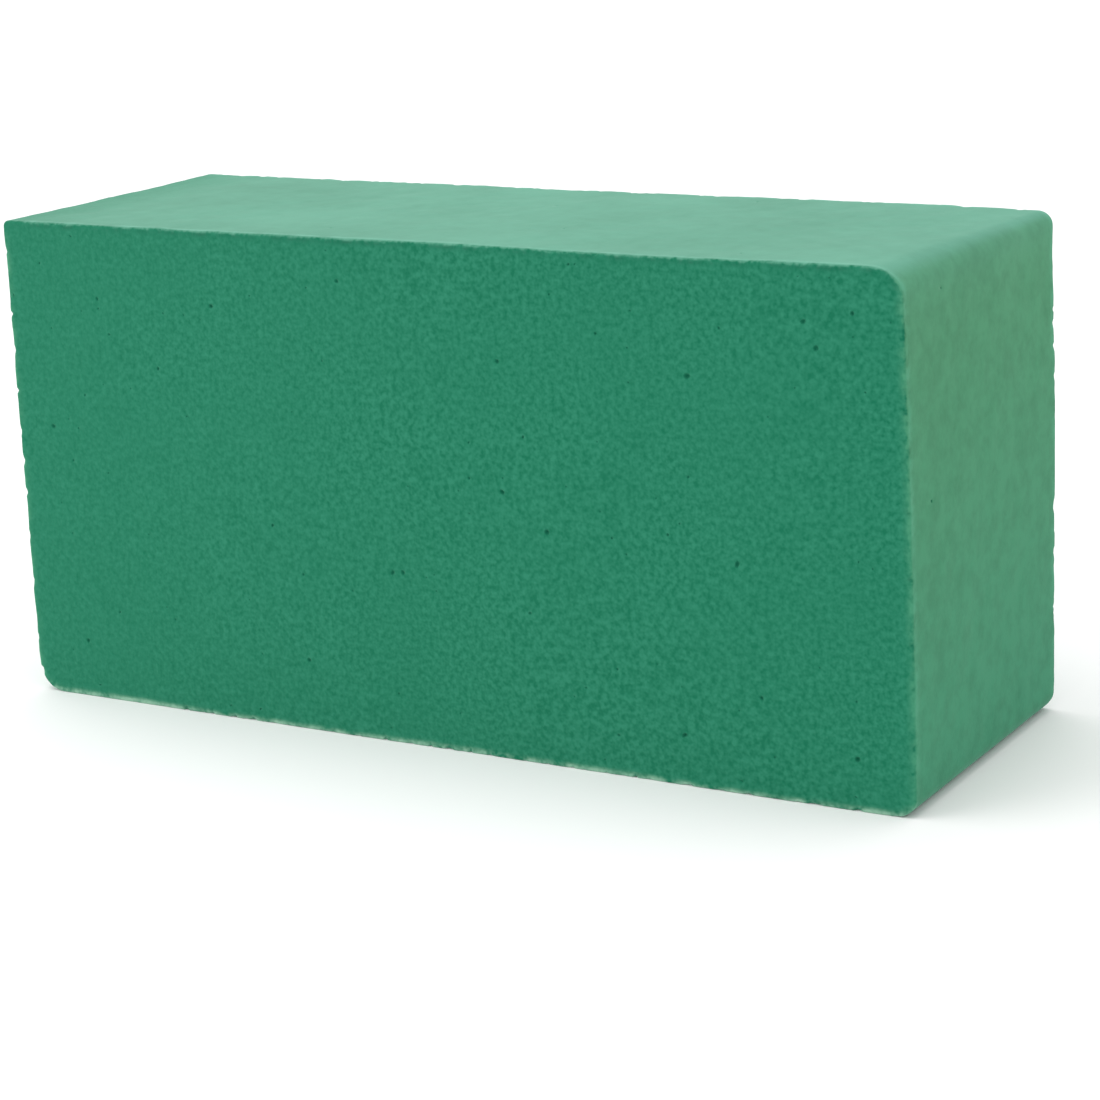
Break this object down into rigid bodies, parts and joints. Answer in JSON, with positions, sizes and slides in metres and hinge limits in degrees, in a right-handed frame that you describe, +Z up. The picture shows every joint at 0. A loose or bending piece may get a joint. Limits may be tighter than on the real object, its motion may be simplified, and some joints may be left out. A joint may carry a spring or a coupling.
{
  "type": "floral foam brick",
  "caption": "Rectangular block of rigid green floral foam, soaked in water and cut to size to hold cut flower stems.",
  "frame": {"origin": "centre of the underside, the long narrow face that the brick stands on", "axes": "+X along the 200 mm length, +Y from the front broad face to the back one across the 70 mm thickness, +Z up along the 100 mm height"},
  "size_m": [0.2, 0.07, 0.1],
  "materials": {
    "foam": "dry open-cell phenolic foam, matte and dusty"
  },
  "bodies": {
    "root": {"foam_brick": "foam"}
  },
  "joints": []
}
